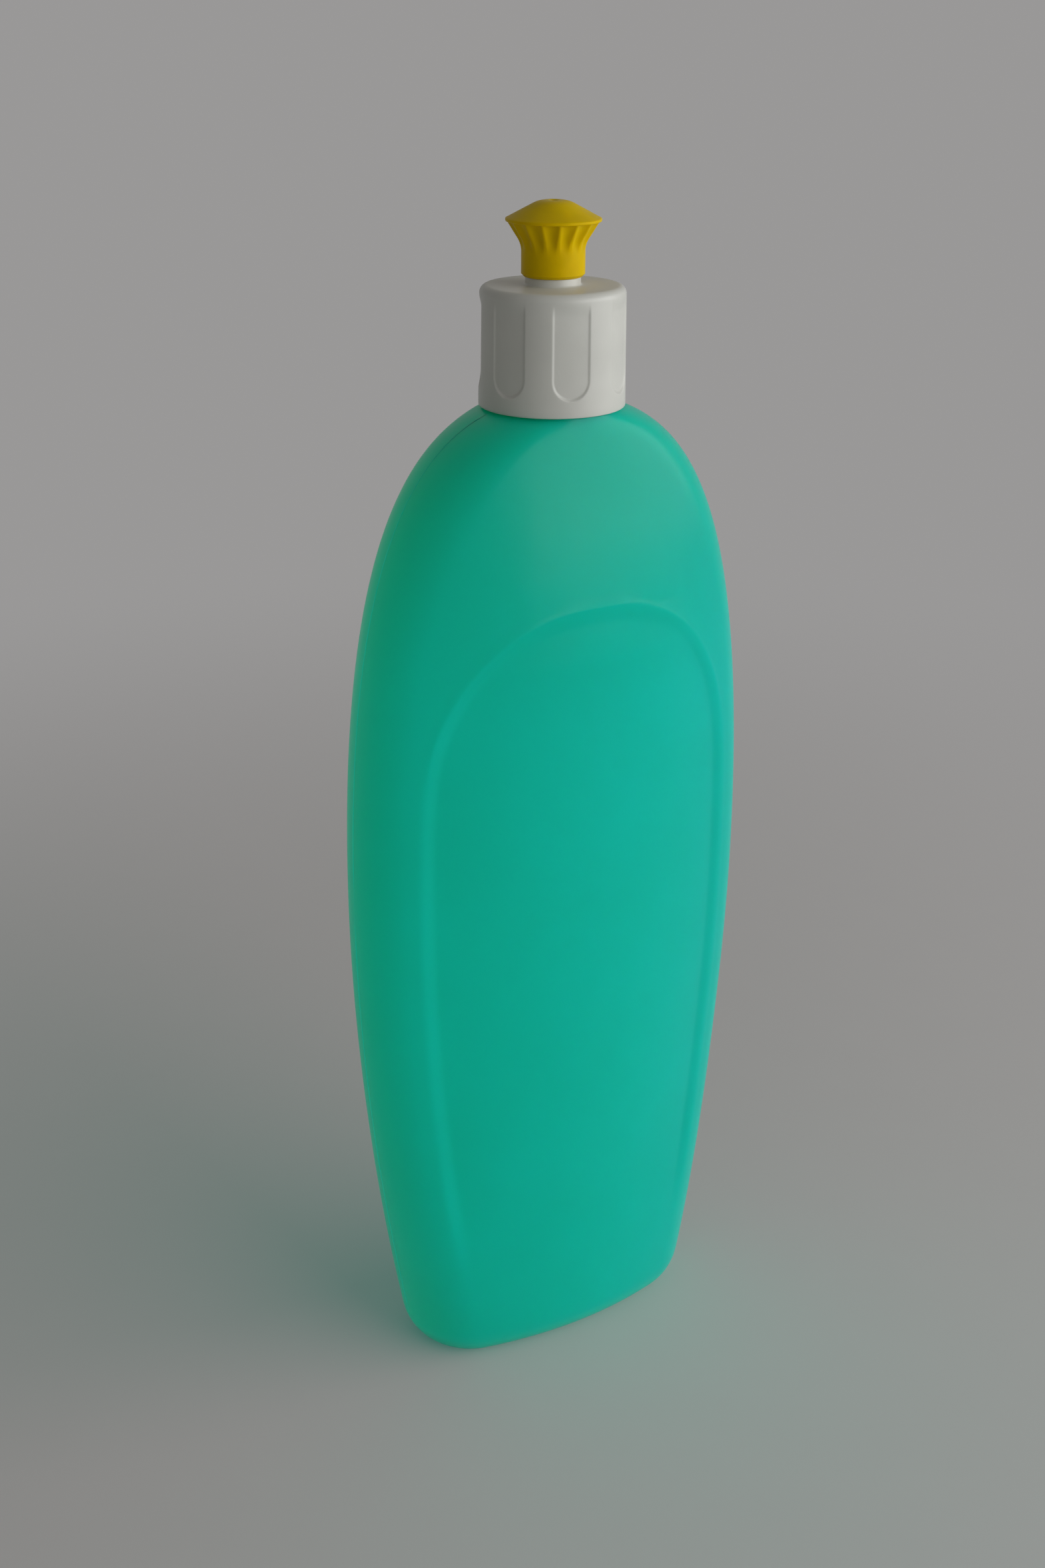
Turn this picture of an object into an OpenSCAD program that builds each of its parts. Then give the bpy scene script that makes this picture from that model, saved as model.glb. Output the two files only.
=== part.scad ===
// Squeeze bottle of blow-moulded polyethylene for washing-up liquid, with a fluted
// screw cap and a push-pull nozzle. Millimetres, +Z up, the front faces -Y and the
// width runs along X. The origin is the middle of the base, on the table.

/* [Bottle body] */
// Width of the body at its widest line
body_w = 89.6; // [82:0.2:98]
// Depth of the body at its widest line
body_d = 39.8; // [37:0.2:44]
// Height of the widest line above the table
widest_z = 111.5; // [104:0.5:118]
// Height of the ledge where the shoulder meets the neck
shoulder_z = 208.3; // [200:0.1:216]
// Width across the base, before its edge is rounded
base_w = 66.6; // [60:0.2:72]
// Depth across the base, before its edge is rounded
base_d = 33.2; // [31:0.2:36]
// Height of the rounded edge round the base
base_round = 7.5; // [5:0.5:9]
// How far the rounded edge draws the base in
base_inset = 5.4; // [4:0.2:6.6]
// Thickness of the moulded wall
body_wall = 1.2; // [0.8:0.1:1.6]
// Thickness of the floor over the push-up
floor_t = 1.4; // [1:0.1:2.2]
// How high the middle of the base is pushed up
push_up = 2; // [1:0.2:3]
// Width of the flat ring that the bottle stands on
foot_w = 2.6; // [1.6:0.2:4]

/* [Side curve] */
// How far the side leans out just above the base
base_flare = 3; // [1:0.2:6]
// Height over which the side leans out above the base
base_flare_h = 16; // [10:1:22]
// Length of the side curve's pull below the widest line
belly_low = 50.8; // [42:0.2:58]
// Length of the side curve's pull above the widest line
belly_high = 73.2; // [66:0.2:80]
// How far the shoulder runs out from the neck before it turns down
shoulder_reach = 16.4; // [12:0.2:20]
// How far the shoulder falls over that reach
shoulder_fall = 5.4; // [4:0.2:7]
// Width across the top of the shoulder, at the ledge
shoulder_d = 26.2; // [25.6:0.2:27.4]
// Height where the front and the back begin to lean in towards the neck
lean_z = 170; // [162:1:178]
// Half of the height over which they bend into that lean
lean_soft = 20; // [8:1:28]
// Roundness of the narrow sides at the base, as end radius over half depth
end_round_base = 0.84; // [0.7:0.01:0.9]
// Roundness of the narrow sides at the panel, as end radius over half depth
end_round = 0.63; // [0.5:0.01:0.72]
// Roundness of the narrow sides at the ledge, as end radius over half depth
end_round_top = 0.97; // [0.9:0.01:0.99]

/* [Label panel] */
// Distance from the side of the body to the edge of the panel
panel_margin = 9.9; // [8:0.1:13]
// Height where the straight edges of the panel turn into its arch
panel_spring_z = 133; // [125:1:140]
// Height of the top of the panel's arch
panel_top_z = 173.2; // [166:0.2:180]
// Fullness of the arch, 2 for an ellipse and more for a squarer one
panel_power = 2.45; // [2:0.05:3]
// Depth of the upright panel below the body beside it
panel_depth = 0.7; // [0.5:0.1:1.2]
// Least depth of the panel, where the body leans in over the top of its arch
panel_top_depth = 0.35; // [0.2:0.05:0.6]
// Width of the soft step at the edge of the panel
panel_step = 3.4; // [2.4:0.2:5]
// Height where the panel starts to sink in above the base
panel_low_z = 16; // [12:1:24]
// Height over which the panel sinks in to its full depth
panel_fade_h = 30; // [20:1:40]

/* [Neck] */
// Outer diameter of the neck tube
neck_d = 21.7; // [21.1:0.1:22.1]
// Diameter of the neck's bore
neck_bore_d = 18; // [16:0.1:18.6]
// Height of the neck from the ledge to the rim
neck_h = 19.6; // [17:0.1:22]
// Diameter of the bead round the neck
bead_d = 23.8; // [23.2:0.1:24.4]
// Height of the bead round the neck
bead_h = 2.4; // [1.6:0.1:3.2]
// Height from the ledge to the underside of the bead
bead_up = 2; // [1.4:0.1:3]
// Chamfer on the neck's rim and bead
neck_chamfer = 0.5; // [0.3:0.05:0.7]

/* [Screw cap] */
// Radial clearance between the bead and the inside of the cap
cap_clear = 0.3; // [0.2:0.05:0.5]
// Thickness of the cap's skirt at its lower edge
cap_wall = 1.8; // [1.6:0.1:2.4]
// How much smaller the cap's radius is at the top than at its lower edge
cap_draft = 0.28; // [0:0.02:0.4]
// Gap between the ledge and the cap's lower edge when it is screwed down
cap_gap = 0.15; // [0.1:0.05:0.4]
// Thickness of the cap's deck
deck_t = 1.8; // [1.4:0.1:2.4]
// Radius of the rounded edge round the deck
deck_round = 1.5; // [1:0.1:1.6]
// Thickness of the seal under the deck
seal_t = 1; // [0.8:0.1:1.6]
// Radial clearance between the seal and the inside of the cap
seal_clear = 0.4; // [0.3:0.05:0.8]
// Number of flutes round the skirt
flute_count = 7; // [5:1:9]
// Width of a flute
flute_w = 7.5; // [5:0.1:8]
// Depth of a flute
flute_depth = 0.42; // [0.2:0.02:0.6]
// Height from the cap's lower edge to the round end of a flute
flute_up = 3.1; // [2:0.1:6]
// Height over which a flute runs out below the deck's rounded edge
flute_runout = 2.6; // [1.4:0.1:4]
// Turn of the first flute about the axis
flute_turn = -105.8; // [-180:0.2:180]

/* [Chimney] */
// Outer diameter of the chimney that the nozzle slides on
chimney_d = 8.9; // [8.3:0.1:9.3]
// Diameter of the chimney's bore
chimney_bore_d = 6.4; // [5.4:0.1:6.8]
// Height of the chimney above the deck
chimney_h = 9.9; // [9.4:0.1:11]
// Diameter of the collar that the closed nozzle rests on
collar_d = 10.4; // [10:0.1:10.8]
// Height of the collar above the deck
collar_h = 1.5; // [1:0.1:2.4]
// How far the bead at the chimney's top stands out
stop_out = 0.3; // [0.2:0.02:0.34]
// Height of the bead at the chimney's top
stop_h = 0.8; // [0.6:0.1:1.2]
// Diameter of the plug that closes the orifice
plug_d = 2.84; // [2.2:0.02:3]
// How far the closed plug stays below the nozzle's crown
plug_sunk = 0.9; // [0.4:0.1:1.4]
// Thickness of the three webs that carry the plug
web_t = 1.2; // [0.8:0.1:1.4]
// Height of the webs
web_h = 2.6; // [2:0.1:3.4]
// How far the webs stay below the chimney's top
web_sunk = 0.4; // [0.2:0.1:1]

/* [Nozzle] */
// Radial clearance where the nozzle slides on the chimney
slide_fit = 0.07; // [0.03:0.01:0.1]
// How far the nozzle can be pulled up
nozzle_travel = 4; // [3:0.1:4.6]
// Outer diameter of the nozzle's skirt
nozzle_d = 11.46; // [11.2:0.02:12]
// Diameter of the nozzle's brim
brim_d = 17.8; // [15:0.1:20]
// Diameter of the flare where it meets the underside of the brim
flare_d = 17.2; // [14.4:0.1:17.6]
// Height from the skirt's lower edge to the start of the flare
skirt_h = 4.3; // [3.4:0.1:5.2]
// Height from the skirt's lower edge to the underside of the brim
brim_up = 9.8; // [9:0.1:10.8]
// Thickness of the brim at its edge
brim_t = 0.6; // [0.4:0.1:1]
// Lean of the flare from upright, in degrees
flare_lean = 33; // [28:1:36]
// Height of the crown above the brim's edge
crown_h = 3.1; // [2.6:0.1:3.8]
// Diameter of the flat crown
crown_d = 4.4; // [4:0.1:5]
// Diameter of the orifice
orifice_d = 3; // [2.4:0.02:3.2]
// Length of the orifice
orifice_l = 2.2; // [1.4:0.1:2.4]
// Number of scallops under the brim
scallop_count = 16; // [10:1:18]
// Radius of a scallop under the brim
scallop_r = 1.25; // [0.9:0.05:1.4]
// Radius of a scallop at its lower end
scallop_low_r = 0.6; // [0.4:0.05:0.7]
// Depth of a scallop under the brim
scallop_depth = 0.55; // [0.3:0.05:0.7]

/* [Hidden] */
$fn = 96;
// Small overlap that keeps cuts and joins clean
eps = 0.05;

// Heights along the axis, each from the one below it
rim_z = shoulder_z + neck_h;
cap_low_z = shoulder_z + cap_gap;
deck_low_z = rim_z + seal_t;
deck_z = deck_low_z + deck_t;
collar_z = deck_z + collar_h;
chimney_top_z = deck_z + chimney_h;
stop_z = chimney_top_z - stop_h;
brim_z = collar_z + brim_up;
crown_z = brim_z + brim_t + crown_h;
plug_top_z = crown_z - plug_sunk;

// Radii that follow from the fits
cap_bore_r = bead_d / 2 + cap_clear;
cap_low_r = cap_bore_r + cap_wall;
cap_top_r = cap_low_r - cap_draft;
stop_r = chimney_d / 2 + stop_out;
lip_r = chimney_d / 2 + slide_fit;
nozzle_bore_r = stop_r + slide_fit;
// Play left between the nozzle's lip and the chimney's bead when pulled up
stop_play = 0.1;
lip_top_z = stop_z - nozzle_travel - stop_play;
// Play between the chimney's top and the nozzle's ceiling
ceiling_play = 0.4;
chamber_r = orifice_d / 2 + 1.1;

// Corner points of the body's side curve, each as half width, half depth and height
base_point = [base_w / 2, base_d / 2, 0];
flare_point = [base_w / 2 + base_flare, (base_d + body_d) / 4, base_flare_h];
belly_low_point = [body_w / 2, body_d / 2, widest_z - belly_low];
widest_point = [body_w / 2, body_d / 2, widest_z];
belly_high_point = [body_w / 2, body_d / 2, widest_z + belly_high];
shoulder_point = [shoulder_d / 2 + shoulder_reach, body_d / 2, shoulder_z - shoulder_fall];
ledge_point = [shoulder_d / 2, body_d / 2, shoulder_z];
lower_curve = [base_point, flare_point, belly_low_point, widest_point];
upper_curve = [widest_point, belly_high_point, shoulder_point, ledge_point];
// How much the half depth loses over each millimetre of the lean
lean_slope = (body_d - shoulder_d) / 2 / (shoulder_z - lean_z);

// Rows and columns of the body's surface
outer_columns = [4, 3, 2, 7];
inner_columns = [3, 2, 1, 4];
// Smallest half width at which the columns still follow the arch
arch_column_w = 13;

function smooth(t) = let (u = min(1, max(0, t))) u * u * (3 - 2 * u);

function bezier(p, t) =
    pow(1 - t, 3) * p[0] + 3 * pow(1 - t, 2) * t * p[1] + 3 * (1 - t) * t * t * p[2] + pow(t, 3) * p[3];

// Place on a curve whose height is z, found by halving
function bezier_at(p, z, lo = 0, hi = 1, steps = 24) =
    let (mid = (lo + hi) / 2)
    steps == 0 ? bezier(p, mid)
    : bezier(p, mid)[2] < z ? bezier_at(p, z, mid, hi, steps - 1)
    : bezier_at(p, z, lo, mid, steps - 1);

// How far up the lean the height z is, bending softly into it
function lean_in(z) =
    let (t = z - lean_z)
    t < -lean_soft ? 0 : t > lean_soft ? t : pow(t + lean_soft, 2) / (4 * lean_soft);

// How much less the half depth is at height z than at the widest line
function lean_depth(z) = lean_slope * lean_in(z);

// Half width and half depth of the body at height z
function half_size(z) =
    let (s = bezier_at(z < widest_z ? lower_curve : upper_curve, z))
    [s[0], min(s[0], s[1] - lean_depth(z))];

// Share of the half depth that the narrow sides are rounded with
function end_share(z) =
    end_round_base + (end_round - end_round_base) * smooth(z / (0.7 * widest_z))
    + (end_round_top - end_round) * lean_in(z) / (shoulder_z - lean_z);

// Section of the body as half width, half depth, end radius and side radius, drawn in by inset
function section(z, inset_w, inset_d) =
    let (size = half_size(z), a = size[0] - inset_w, b = min(a - eps, size[1] - inset_d))
    let (r = b * end_share(z))
    [a, b, r, (a * a + b * b - 2 * a * r) / (2 * (b - r))];

// Angle at which the end arc of a section meets its side arc
function join_angle(s) = atan2(s[3] - s[1], s[0] - s[2]);

// Point of a section whose outward direction is at angle phi from +X, up to 90 degrees
function section_point(s, phi) =
    phi < join_angle(s)
    ? [s[0] - s[2] + s[2] * cos(phi), s[2] * sin(phi)]
    : [s[3] * cos(phi), s[3] * sin(phi) - s[3] + s[1]];

// Half width of the panel at height z, without its arch
function panel_half_w(z) = half_size(min(z, panel_top_z))[0] - panel_margin;

// Height in the arch, 0 at its springing and 1 at its top
function arch_share(z) = min(1, max(0, (z - panel_spring_z) / (panel_top_z - panel_spring_z)));

// How deep the panel lies below the body at x and z
function panel_sink(x, z) =
    let (w = panel_half_w(z), up = max(0, z - panel_spring_z), q = up / (panel_top_z - panel_spring_z))
    let (s = pow(pow(abs(x) / w, panel_power) + pow(q, panel_power), 1 / panel_power))
    let (inside = up == 0 ? w - abs(x) : norm([x, up]) / s * (1 - s))
    let (deep = panel_top_depth + max(0, panel_depth - panel_top_depth - lean_depth(z)))
    deep * smooth((z - panel_low_z) / panel_fade_h) * smooth(inside / panel_step);

// Half width that the panel's columns follow, kept open over the top of the arch
function column_w(z) =
    max(arch_column_w, panel_half_w(z) * pow(1 - pow(arch_share(z), panel_power), 1 / panel_power));

function steps_between(from, to, count) = [for (i = [0:count - 1]) from + (to - from) * i / count];

// Directions of the points of a quarter section, from the middle of the front to the narrow side
function quarter_angles(z, s, columns) =
    let (join = join_angle(s), join_x = s[3] * cos(join))
    let (edge = min(column_w(z), 0.9 * join_x), inner = edge - panel_step)
    let (xs = concat(
        steps_between(0, inner, columns[0]),
        steps_between(inner, edge, columns[1]),
        steps_between(edge, join_x, columns[2])))
    let (aligned = concat([for (x = xs) acos(x / s[3])], steps_between(join, 0, columns[3])))
    let (count = len(aligned), mix = smooth((z - panel_top_z) / (shoulder_z - panel_top_z)))
    [for (i = [0:count - 1]) aligned[i] * (1 - mix) + 90 * (1 - i / count) * mix];

// Closed ring of points at height z of the outside, shifted in and up or down for the inside
function ring(z, columns, inset_w = 0, inset_d = 0, lift = 0) =
    let (s = section(z, inset_w, inset_d), angles = quarter_angles(z, s, columns))
    let (quarter = [for (phi = angles)
        let (p = section_point(s, phi), sink = panel_sink(p[0], z) * smooth((phi - 30) / 30))
        [p[0], p[1] - sink]])
    let (n = len(quarter), side = [section_point(s, 0)])
    concat(
        [for (i = [0:n - 1]) [quarter[i][0], -quarter[i][1], z + lift]],
        [for (p = side) [p[0], 0, z + lift]],
        [for (i = [n - 1:-1:1]) [quarter[i][0], quarter[i][1], z + lift]],
        [for (i = [0:n - 1]) [-quarter[i][0], quarter[i][1], z + lift]],
        [for (p = side) [-p[0], 0, z + lift]],
        [for (i = [n - 1:-1:1]) [-quarter[i][0], -quarter[i][1], z + lift]]);

// Solid between rings that lie one above the other, closed with flat ends
module loft(rings) {
    n = len(rings[0]);
    top = len(rings) - 1;
    walls = [for (k = [0:top - 1], i = [0:n - 1])
        let (a = k * n + i, b = k * n + (i + 1) % n)
        each [[a, b + n, b], [a, a + n, b + n]]];
    floor_face = [[for (i = [0:n - 1]) i]];
    roof_face = [[for (i = [n - 1:-1:0]) top * n + i]];
    polyhedron(points = [for (r = rings) each r], faces = concat(walls, floor_face, roof_face));
}

// Heights of the rings above the rounded base, closer together at the arch and the ledge
function row_heights(from, side_rows, arch_rows, top_rows) = concat(
    steps_between(from, panel_spring_z, side_rows),
    [for (i = [0:arch_rows - 1])
        panel_spring_z + (panel_top_z - panel_spring_z) * (1 - pow(1 - i / arch_rows, 1.5))],
    [for (i = [0:top_rows])
        panel_top_z + (shoulder_z - panel_top_z) * (1 - pow(1 - i / top_rows, 1.6))]);

module body_outside() {
    rounded = [for (turn = [0:18:72])
        let (z = base_round * (1 - cos(turn)), inset = base_inset * (1 - sin(turn)))
        ring(z, outer_columns, inset, inset)];
    loft(concat(rounded, [for (z = row_heights(base_round, 16, 14, 14)) ring(z, outer_columns)]));
}

// Ring of the inside, one wall away from the outside at height z
function inner_ring(z) =
    let (step = 0.5, low = half_size(z - step), high = half_size(min(z + step, shoulder_z)))
    let (rise = min(z + step, shoulder_z) - z + step)
    let (slope_w = (high[0] - low[0]) / rise, slope_d = (high[1] - low[1]) / rise)
    let (in_w = body_wall / sqrt(1 + slope_w * slope_w), in_d = body_wall / sqrt(1 + slope_d * slope_d))
    ring(z, inner_columns, in_w, in_d, in_w * slope_w);

module body_inside() {
    floor_z = push_up + floor_t;
    corner_h = 2.4;
    corner = [for (turn = [0, 45])
        let (inset = body_wall + base_inset * (1 - sin(turn)))
        ring(floor_z + corner_h * (1 - cos(turn)), inner_columns, inset, inset)];
    loft(concat(corner, [for (z = row_heights(floor_z + corner_h, 9, 8, 9)) inner_ring(z)]));
}

// Shallow hollow that pushes the middle of the base up
module base_hollow() {
    foot = base_inset + foot_w;
    slope_w = 3;
    loft([
        ring(0, outer_columns, foot - eps, foot - eps, -2 * eps),
        ring(0, outer_columns, foot + slope_w / 2, foot + slope_w / 2, push_up * 0.7),
        ring(0, outer_columns, foot + slope_w, foot + slope_w, push_up)]);
}

module neck_outside() {
    r = neck_d / 2;
    out = bead_d / 2;
    low = shoulder_z - body_wall / 2;
    bead_z = shoulder_z + bead_up;
    bead_top = bead_z + bead_h;
    rotate_extrude()
        polygon([
            [0, low], [r, low], [r, bead_z], [out - neck_chamfer, bead_z],
            [out, bead_z + neck_chamfer], [out, bead_top - neck_chamfer],
            [out - neck_chamfer, bead_top], [r, bead_top],
            [r, rim_z - neck_chamfer], [r - neck_chamfer, rim_z], [0, rim_z]]);
}

module neck_bore() {
    below = 3;
    translate([0, 0, shoulder_z - below])
        cylinder(d = neck_bore_d, h = neck_h + below + 1);
}

// Bottle: one hollow shell with a sunk panel front and back, a pushed-up base and a neck
module bottle() {
    color([0.02, 0.64, 0.55])
        difference() {
            union() {
                body_outside();
                neck_outside();
            }
            body_inside();
            base_hollow();
            neck_bore();
        }
}

// Seal: a flat ring between the rim and the deck
module seal() {
    color([0.86, 0.87, 0.84])
        translate([0, 0, rim_z])
            difference() {
                cylinder(r = cap_bore_r - seal_clear, h = seal_t);
                translate([0, 0, -1])
                    cylinder(d = neck_bore_d, h = seal_t + 2);
            }
}

// Outside of the cap: a slightly tapered skirt, a rounded edge, the collar and the chimney
module cap_outside() {
    edge_z = deck_z - deck_round;
    edge_r = cap_top_r - deck_round;
    rounding = [for (turn = [0:15:90]) [edge_r + deck_round * cos(turn), edge_z + deck_round * sin(turn)]];
    tube_r = chimney_d / 2;
    foot_fillet = 0.4;
    rotate_extrude()
        polygon(concat(
            [[0, cap_low_z], [cap_low_r, cap_low_z]],
            rounding,
            [[collar_d / 2 + foot_fillet, deck_z], [collar_d / 2, deck_z + foot_fillet]],
            [[collar_d / 2, collar_z], [tube_r, collar_z]],
            [[tube_r, stop_z], [stop_r, stop_z], [stop_r, stop_z + stop_h / 2]],
            [[tube_r, chimney_top_z], [0, chimney_top_z]]));
}

// One flute: a shallow recess with a round lower end that runs out below the deck's edge
module flute() {
    floor_low_r = cap_low_r - flute_depth;
    floor_top_r = cap_top_r - flute_depth;
    edge_z = deck_z - deck_round;
    r = flute_w / 2;
    end_z = cap_low_z + flute_up + r;
    difference() {
        union() {
            translate([0, 0, end_z])
                rotate([0, 90, 0])
                    cylinder(r = r, h = cap_low_r + 1);
            translate([0, -r, end_z])
                cube([cap_low_r + 1, flute_w, deck_z - end_z + 1]);
        }
        rotate_extrude()
            polygon([
                [0, cap_low_z], [floor_low_r, cap_low_z],
                [floor_top_r, edge_z - flute_runout], [cap_top_r + eps, edge_z],
                [cap_low_r + 2, edge_z], [cap_low_r + 2, deck_z + 2], [0, deck_z + 2]]);
    }
}

// Plug in the middle of the chimney, carried by three webs
module plug() {
    web_top = chimney_top_z - web_sunk;
    point_h = 0.5;
    translate([0, 0, web_top - web_h])
        cylinder(d = plug_d, h = plug_top_z - point_h - web_top + web_h);
    translate([0, 0, plug_top_z - point_h])
        cylinder(d1 = plug_d, d2 = plug_d - 2 * point_h, h = point_h);
    for (turn = [0:120:240])
        rotate(turn)
            translate([0, -web_t / 2, web_top - web_h])
                cube([(chimney_d + chimney_bore_d) / 4, web_t, web_h]);
}

// Screw cap: fluted skirt, deck, collar, chimney and plug in one moulding
module screw_cap() {
    color([0.93, 0.93, 0.9]) {
        difference() {
            cap_outside();
            translate([0, 0, cap_low_z - 1])
                cylinder(r = cap_bore_r, h = deck_low_z - cap_low_z + 1);
            translate([0, 0, deck_low_z - 1])
                cylinder(d = chimney_bore_d, h = chimney_top_z - deck_low_z + 2);
            for (i = [0:flute_count - 1])
                rotate(flute_turn + i * 360 / flute_count)
                    flute();
        }
        plug();
    }
}

// Skirt and concave flare of the nozzle, up to the brim
module nozzle_flare() {
    r = nozzle_d / 2;
    chamfer = 0.5;
    arc_z = collar_z + skirt_h;
    // Radius of the arc that turns the upright skirt into the leaning flare
    rise = brim_z - arc_z;
    run = flare_d / 2 - r;
    arc_r = (rise * tan(flare_lean) - run) / (tan(flare_lean) * sin(flare_lean) + cos(flare_lean) - 1);
    arc = [for (turn = [0:flare_lean / 5:flare_lean])
        [r + arc_r * (1 - cos(turn)), arc_z + arc_r * sin(turn)]];
    rotate_extrude()
        polygon(concat(
            [[0, collar_z], [r - chamfer, collar_z], [r, collar_z + chamfer]],
            arc,
            [[flare_d / 2, brim_z], [flare_d / 2, brim_z + brim_t / 2], [0, brim_z + brim_t / 2]]));
}

// One scallop: a cone laid along the flare, deepest under the brim
module scallop() {
    length = (brim_up - skirt_h) / cos(flare_lean);
    past = 1;
    widen = (scallop_r - scallop_low_r) / length;
    translate([flare_d / 2, 0, brim_z])
        rotate([0, flare_lean, 0])
            translate([scallop_r - scallop_depth, 0, -length])
                cylinder(r1 = scallop_low_r, r2 = scallop_r + widen * past, h = length + past);
}

// Brim and the low cone that rises to the flat crown
module nozzle_top() {
    brim_r = brim_d / 2;
    soft = 0.15;
    crown_round = 0.5;
    rotate_extrude()
        polygon([
            [0, brim_z], [brim_r - soft, brim_z], [brim_r, brim_z + soft],
            [brim_r, brim_z + brim_t - soft], [brim_r - soft, brim_z + brim_t],
            [crown_d / 2 + 3 * crown_round, crown_z - 1.5 * crown_round],
            [crown_d / 2, crown_z - crown_round / 4], [crown_d / 2 - crown_round, crown_z], [0, crown_z]]);
}

// Inside of the nozzle: the lip, the room for the chimney's bead, a chamber and the orifice
module nozzle_inside() {
    ceiling_z = chimney_top_z + ceiling_play;
    orifice_z = crown_z - orifice_l;
    rotate_extrude()
        polygon([
            [0, collar_z - 1], [lip_r, collar_z - 1], [lip_r, lip_top_z],
            [nozzle_bore_r, lip_top_z], [nozzle_bore_r, ceiling_z],
            [chamber_r, ceiling_z], [chamber_r, orifice_z], [orifice_d / 2, orifice_z],
            [orifice_d / 2, crown_z + 1], [0, crown_z + 1]]);
}

// Nozzle: push-pull spout that slides on the chimney
module nozzle() {
    color([0.95, 0.78, 0.02])
        difference() {
            union() {
                difference() {
                    nozzle_flare();
                    for (i = [0:scallop_count - 1])
                        rotate((i + 0.5) * 360 / scallop_count)
                            scallop();
                }
                nozzle_top();
            }
            nozzle_inside();
        }
}

bottle();
seal();
screw_cap();
nozzle();
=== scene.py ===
import math

import bmesh
import bpy
from mathutils import Matrix, Vector


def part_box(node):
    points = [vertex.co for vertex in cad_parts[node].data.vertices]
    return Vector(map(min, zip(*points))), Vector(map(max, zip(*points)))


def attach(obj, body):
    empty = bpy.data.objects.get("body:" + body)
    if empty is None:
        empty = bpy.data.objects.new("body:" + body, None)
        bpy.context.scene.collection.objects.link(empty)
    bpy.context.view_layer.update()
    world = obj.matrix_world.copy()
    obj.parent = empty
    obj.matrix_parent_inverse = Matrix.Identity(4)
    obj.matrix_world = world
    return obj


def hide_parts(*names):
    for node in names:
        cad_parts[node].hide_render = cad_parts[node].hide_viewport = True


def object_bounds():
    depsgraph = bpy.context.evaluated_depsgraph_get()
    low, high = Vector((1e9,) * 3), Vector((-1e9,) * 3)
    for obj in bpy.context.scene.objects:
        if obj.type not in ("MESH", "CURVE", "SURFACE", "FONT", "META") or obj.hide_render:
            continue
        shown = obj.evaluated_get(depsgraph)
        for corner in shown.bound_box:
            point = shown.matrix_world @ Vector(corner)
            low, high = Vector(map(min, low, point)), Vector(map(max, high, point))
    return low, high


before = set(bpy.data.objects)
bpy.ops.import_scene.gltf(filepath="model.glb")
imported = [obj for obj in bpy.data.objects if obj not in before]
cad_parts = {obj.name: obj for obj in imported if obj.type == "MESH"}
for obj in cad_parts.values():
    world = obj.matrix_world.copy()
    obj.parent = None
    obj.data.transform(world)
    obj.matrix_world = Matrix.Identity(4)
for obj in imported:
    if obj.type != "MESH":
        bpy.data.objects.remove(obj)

bl_info = {
    "name": "Squeeze Bottle",
    "version": (1, 0, 0),
    "blender": (4, 5, 0),
    "location": "View3D > Sidebar > Bottle",
    "description": "Dresses a blown squeeze bottle with its screw cap and push-pull nozzle",
    "category": "Object",
}

CAD_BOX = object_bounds()
NECK_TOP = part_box("bottle")[1].z
CAP_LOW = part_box("screw_cap")[0].z
NOZZLE_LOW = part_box("nozzle")[0].z
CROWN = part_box("nozzle")[1].z
SEAL_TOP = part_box("seal")[1].z

# Height of the photograph's frame in pixels, and the long side of the camera's sensor in millimetres
PHOTO_HEIGHT = 2352
SENSOR = 36.0


# Properties


def size(name, description, default):
    """A length that the user can change, in metres."""
    return bpy.props.FloatProperty(
        name=name, description=description, default=default, unit="LENGTH", precision=5)


def share(name, description, default):
    """A plain number that the user can change."""
    return bpy.props.FloatProperty(name=name, description=description, default=default, precision=3)


def turn(name, description, degrees):
    """An angle that the user can change, given in degrees."""
    return bpy.props.FloatProperty(
        name=name, description=description, default=math.radians(degrees), subtype="ANGLE")


def count(name, description, default):
    """A whole number that the user can change."""
    return bpy.props.IntProperty(name=name, description=description, default=default, min=1)


def colour(name, description, default):
    """A colour that the user can change."""
    return bpy.props.FloatVectorProperty(
        name=name, description=description, default=default, size=3, min=0.0, max=1.0, subtype="COLOR")


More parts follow.
